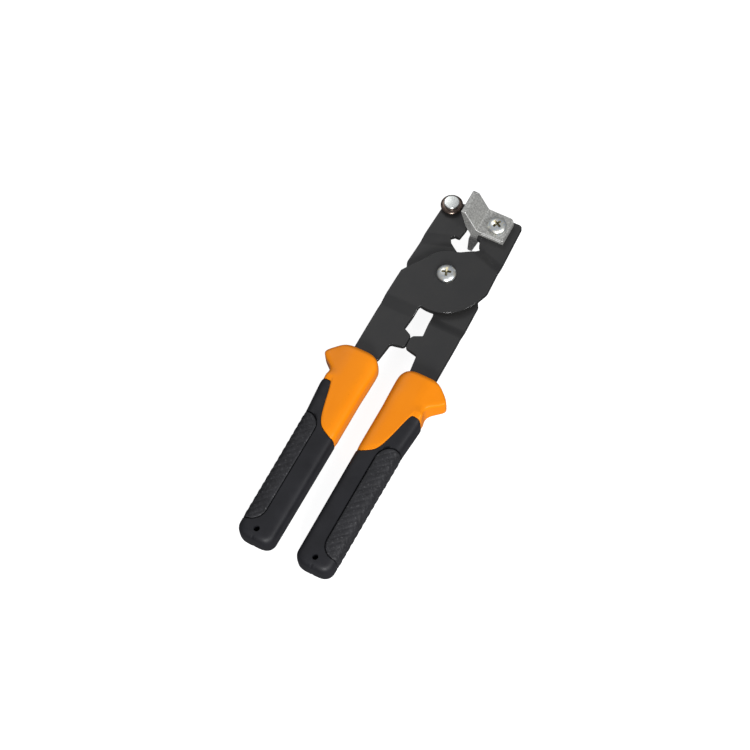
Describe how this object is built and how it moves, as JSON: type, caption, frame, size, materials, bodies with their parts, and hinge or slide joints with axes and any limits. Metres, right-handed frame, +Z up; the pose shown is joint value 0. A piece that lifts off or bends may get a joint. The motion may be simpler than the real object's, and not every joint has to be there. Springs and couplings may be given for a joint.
{
  "type": "tile nibbler",
  "caption": "Hand-held tile nibbler: crossed steel levers on a pivot screw, with a scoring wheel on one jaw, a V-shaped aluminium breaker on the other, and two-tone moulded grips.",
  "frame": {"origin": "on the table, under the middle of the tool as it lies closed on its two grip ends and its lower breaker wing", "axes": "+Y along the closed tool from the grips to the jaws, +X to the right with the pivot screw's head up, +Z up; the tool itself leans 3.15 degrees, jaws up, because the lower wing props it"},
  "size_m": [0.0804, 0.2556, 0.0436],
  "materials": {
    "black_steel": "semi-gloss black coating on stamped steel",
    "zinc_steel": "bright zinc plating",
    "cast_aluminium": "tumbled, slightly grainy aluminium extrusion",
    "dark_carbide": "dark bronze-brown ground carbide",
    "nylon": "natural nylon",
    "orange_plastic": "smooth satin orange polypropylene",
    "grip_rubber": "soft-touch black thermoplastic rubber",
    "pad_rubber": "textured black thermoplastic rubber"
  },
  "bodies": {
    "front_lever_body": {"front_lever": "black_steel", "pivot_screw": "zinc_steel", "pivot_shim": "nylon", "pivot_washer": "zinc_steel", "pivot_lock_nut": "zinc_steel", "pivot_nut_insert": "nylon", "breaker_jaw": "cast_aluminium", "breaker_screw": "zinc_steel", "breaker_lock_washer": "zinc_steel", "breaker_nut": "zinc_steel", "left_grip_core": "orange_plastic", "left_grip_sleeve": "grip_rubber", "left_grip_pad": "pad_rubber"},
    "rear_lever_body": {"rear_lever": "black_steel", "wheel_axle": "zinc_steel", "wheel_spacer": "zinc_steel", "axle_washer": "zinc_steel", "right_grip_core": "orange_plastic", "right_grip_sleeve": "grip_rubber", "right_grip_pad": "pad_rubber"},
    "wheel_body": {"scoring_wheel": "dark_carbide"}
  },
  "joints": [
    {"name": "handle_pivot", "type": "hinge", "parent": "front_lever_body", "child": "rear_lever_body", "pos_m": [0, 0.0755, 0.01951], "axis": [0, -0.0549, 0.9985], "range_deg": [0, 24]},
    {"name": "wheel_spin", "type": "hinge", "parent": "rear_lever_body", "child": "wheel_body", "pos_m": [-0.0196, 0.12063, 0.02199], "axis": [0, -0.0549, 0.9985], "continuous": true}
  ]
}
